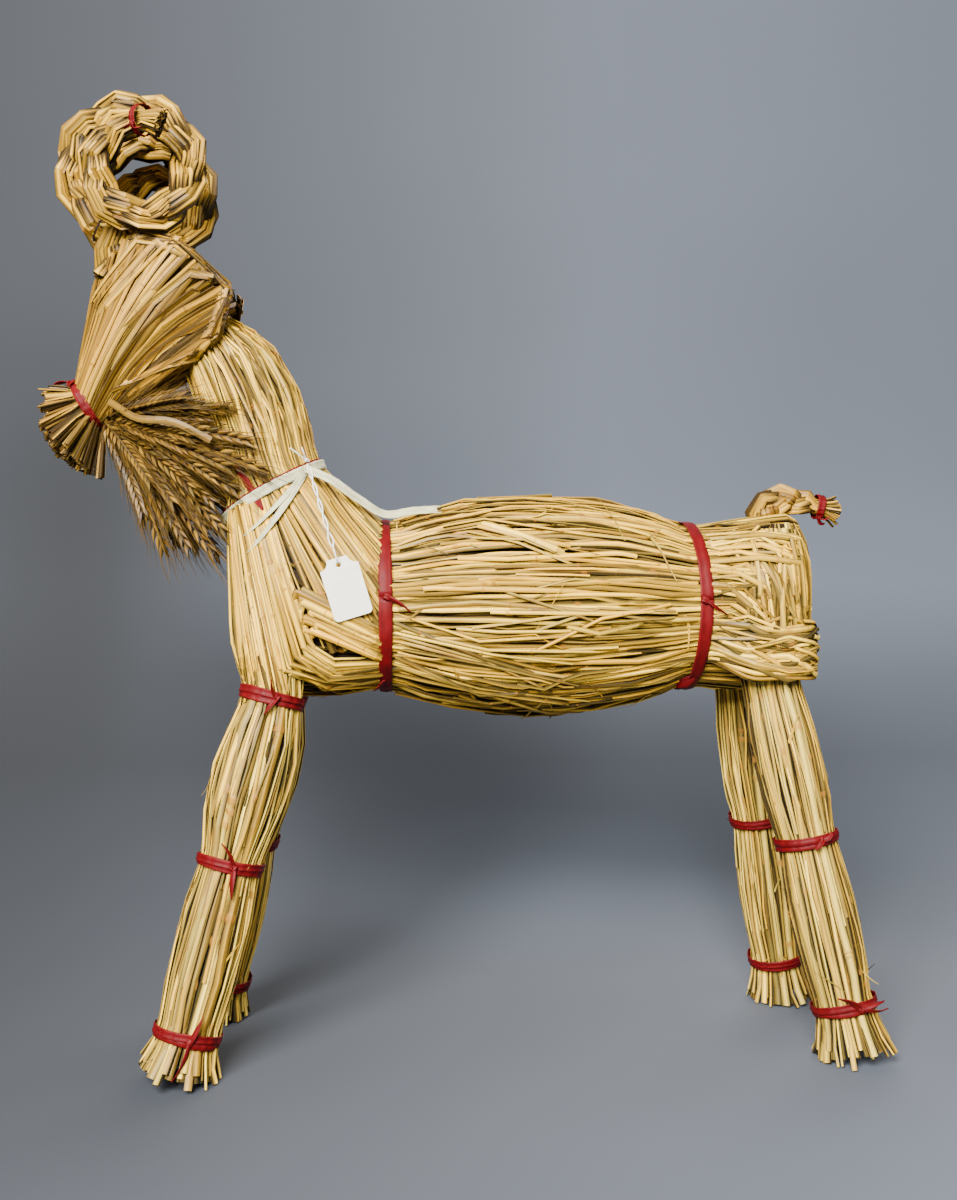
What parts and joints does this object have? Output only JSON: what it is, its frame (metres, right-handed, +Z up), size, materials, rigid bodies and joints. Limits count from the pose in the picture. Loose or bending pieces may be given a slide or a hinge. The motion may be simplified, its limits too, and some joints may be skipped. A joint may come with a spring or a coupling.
{
  "type": "straw goat ornament",
  "caption": "Standing yule goat bound from rye straw, with curled plaited horns, a beard of rye ears, red ribbon ties and a card tag on a string.",
  "frame": {"origin": "on the floor plane, under the middle of the goat's bounding box", "axes": "+Z up; the goat looks along -X, its left side faces -Y"},
  "size_m": [0.6278, 0.1992, 0.706],
  "materials": {
    "straw": "dried rye straw, glossy along the stalks",
    "strawFilling": "loose dull straw",
    "ryeEar": "dry bearded rye ears, matt",
    "redRibbon": "red satin ribbon",
    "paleRibbon": "pale printed gift ribbon, left bare",
    "steel": "soft dark steel wire",
    "card": "off-white card",
    "cotton": "white twisted cotton string"
  },
  "bodies": {
    "goat_body": {"barrel_straw": "straw", "neck_straw": "straw", "head_straw": "straw", "girth_straw": "straw", "barrel_filling": "strawFilling", "front_left_leg": "straw", "front_left_leg_wire": "steel", "front_right_leg": "straw", "front_right_leg_wire": "steel", "rear_left_leg": "straw", "rear_left_leg_wire": "steel", "rear_right_leg": "straw", "rear_right_leg_wire": "steel", "neck_wire": "steel", "rump_wire": "steel", "left_horn": "straw", "left_horn_wire": "steel", "right_horn": "straw", "right_horn_wire": "steel", "beard_ears": "ryeEar", "tail_plait": "straw", "front_body_ribbon": "redRibbon", "rear_body_ribbon": "redRibbon", "muzzle_ribbon": "redRibbon", "tail_ribbon": "redRibbon", "neck_ribbon": "redRibbon", "front_left_hip_ribbon": "redRibbon", "front_left_knee_ribbon": "redRibbon", "front_left_ankle_ribbon": "redRibbon", "front_right_hip_ribbon": "redRibbon", "front_right_knee_ribbon": "redRibbon", "front_right_ankle_ribbon": "redRibbon", "rear_left_knee_ribbon": "redRibbon", "rear_left_ankle_ribbon": "redRibbon", "rear_right_knee_ribbon": "redRibbon", "rear_right_ankle_ribbon": "redRibbon", "left_horn_ribbon": "redRibbon", "right_horn_ribbon": "redRibbon", "pale_ribbon": "paleRibbon", "string_knot": "cotton"},
    "string": {"tag_string": "cotton"},
    "tag": {"hang_tag": "card"}
  },
  "joints": [
    {"name": "string_swing", "type": "hinge", "parent": "goat_body", "child": "string", "pos_m": [-0.11972, -0.0343, 0.43965], "axis": [-0.9563, 0, -0.2924], "range_deg": [0, 75]},
    {"name": "tag_flip", "type": "hinge", "parent": "string", "child": "tag", "pos_m": [-0.09797, -0.0693, 0.3685], "axis": [-0.9563, 0, -0.2924], "range_deg": [0, 100]}
  ]
}
